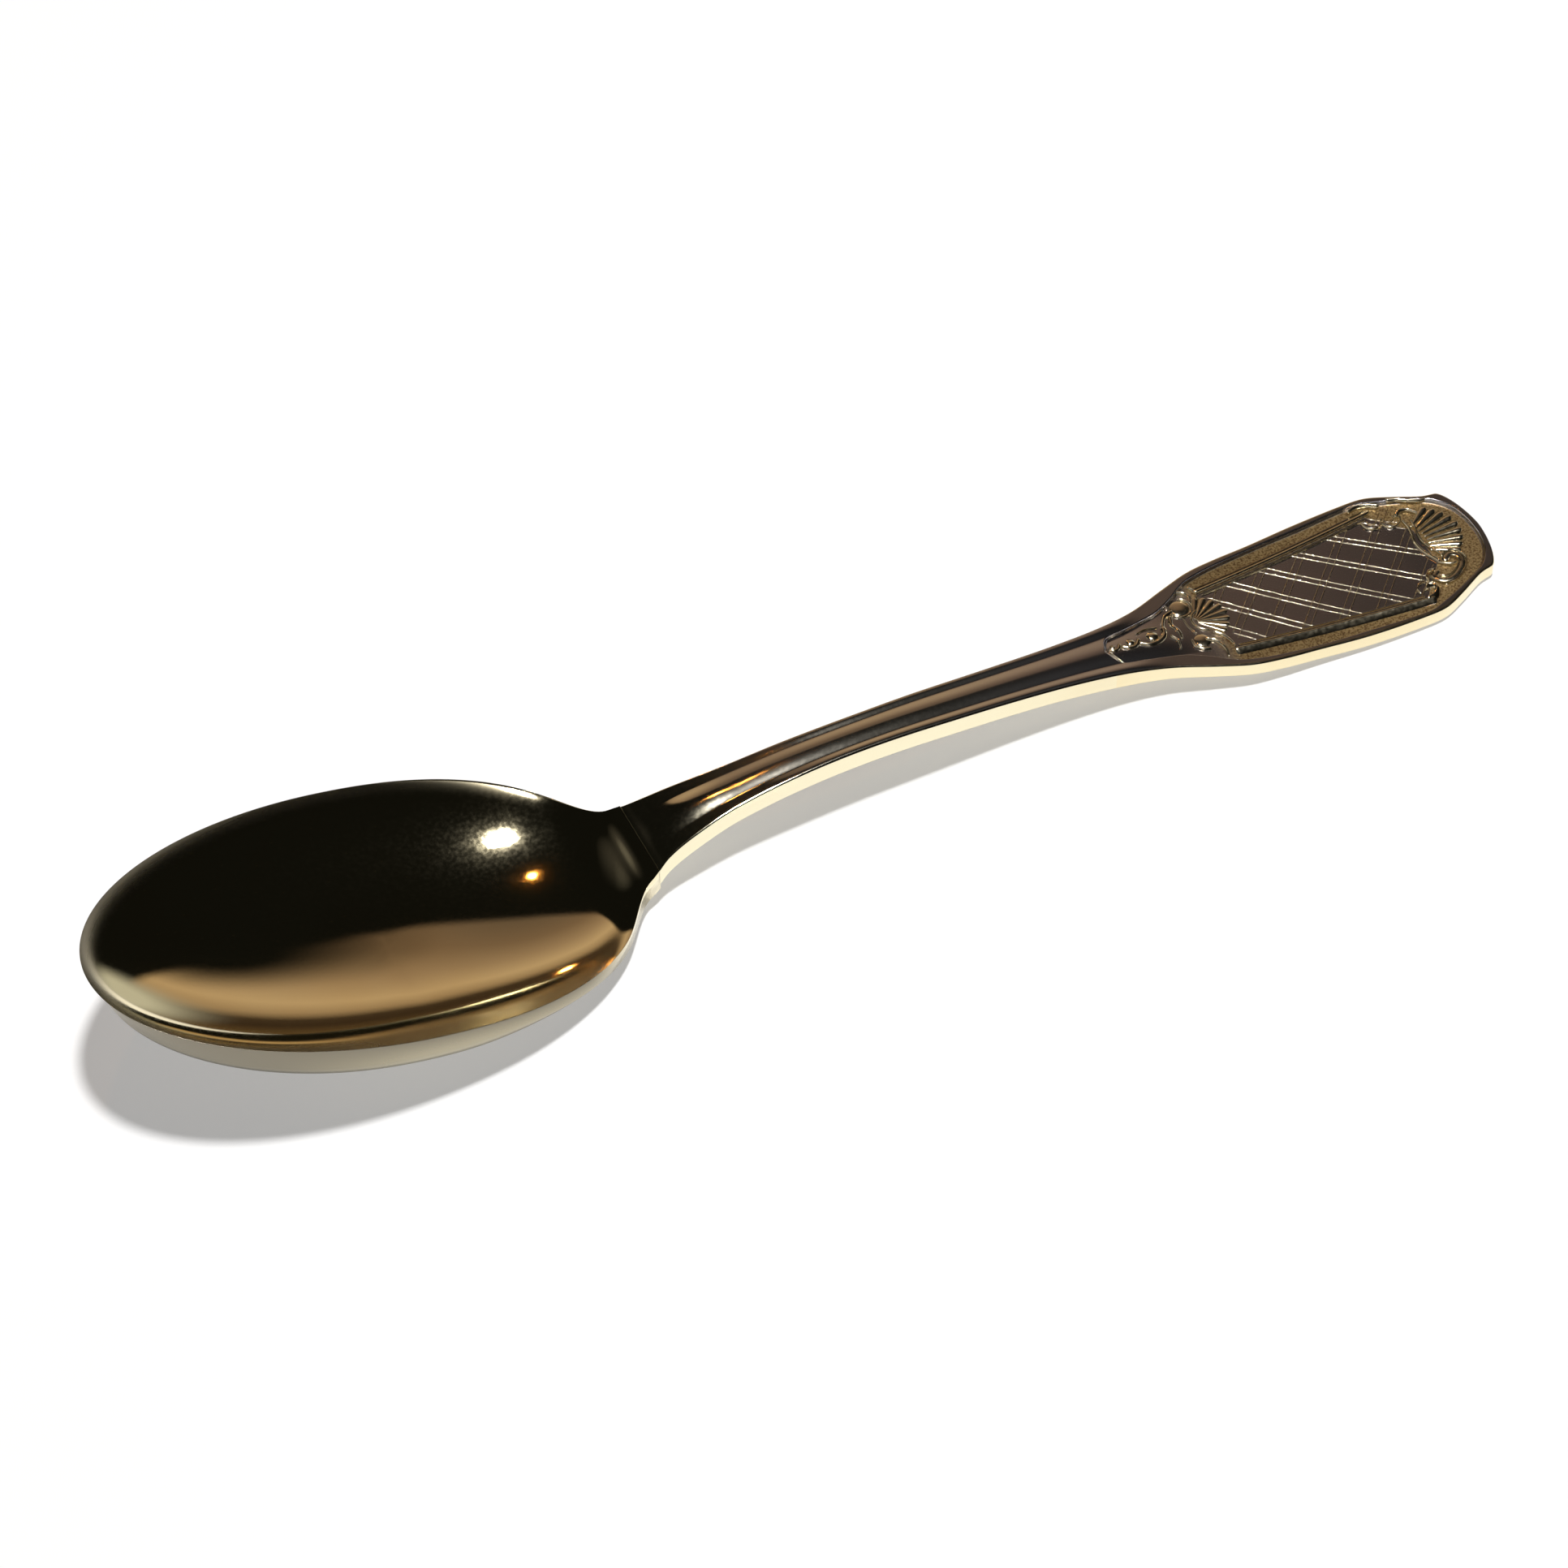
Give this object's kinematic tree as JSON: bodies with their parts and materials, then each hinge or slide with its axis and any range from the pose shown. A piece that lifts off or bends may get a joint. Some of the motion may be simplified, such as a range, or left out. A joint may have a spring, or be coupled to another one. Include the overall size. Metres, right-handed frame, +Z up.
{
  "type": "teaspoon",
  "caption": "Gold-plated teaspoon with an egg-shaped bowl, a narrow arched stem and a fiddle-shaped terminal with lattice, shell and scroll relief.",
  "frame": {"origin": "centre of the footprint's bounding box, on the table", "axes": "+X from the bowl's tip to the end of the handle, +Y across, +Z up with the bowl's hollow facing up"},
  "size_m": [0.138, 0.0298, 0.0149],
  "materials": {
    "gold_polished": "pale gold plating, mirror polished, with fine handling scratches",
    "gold_relief": "pale gold plating over struck relief, darker in the recesses"
  },
  "bodies": {
    "root": {"bowl": "gold_polished", "stem": "gold_polished", "terminal": "gold_polished", "frame_moulding": "gold_relief", "lattice": "gold_relief", "end_shell": "gold_relief", "end_scrolls": "gold_relief", "base_shell": "gold_relief", "base_scrolls": "gold_relief", "leaf_drop": "gold_relief"}
  },
  "joints": []
}
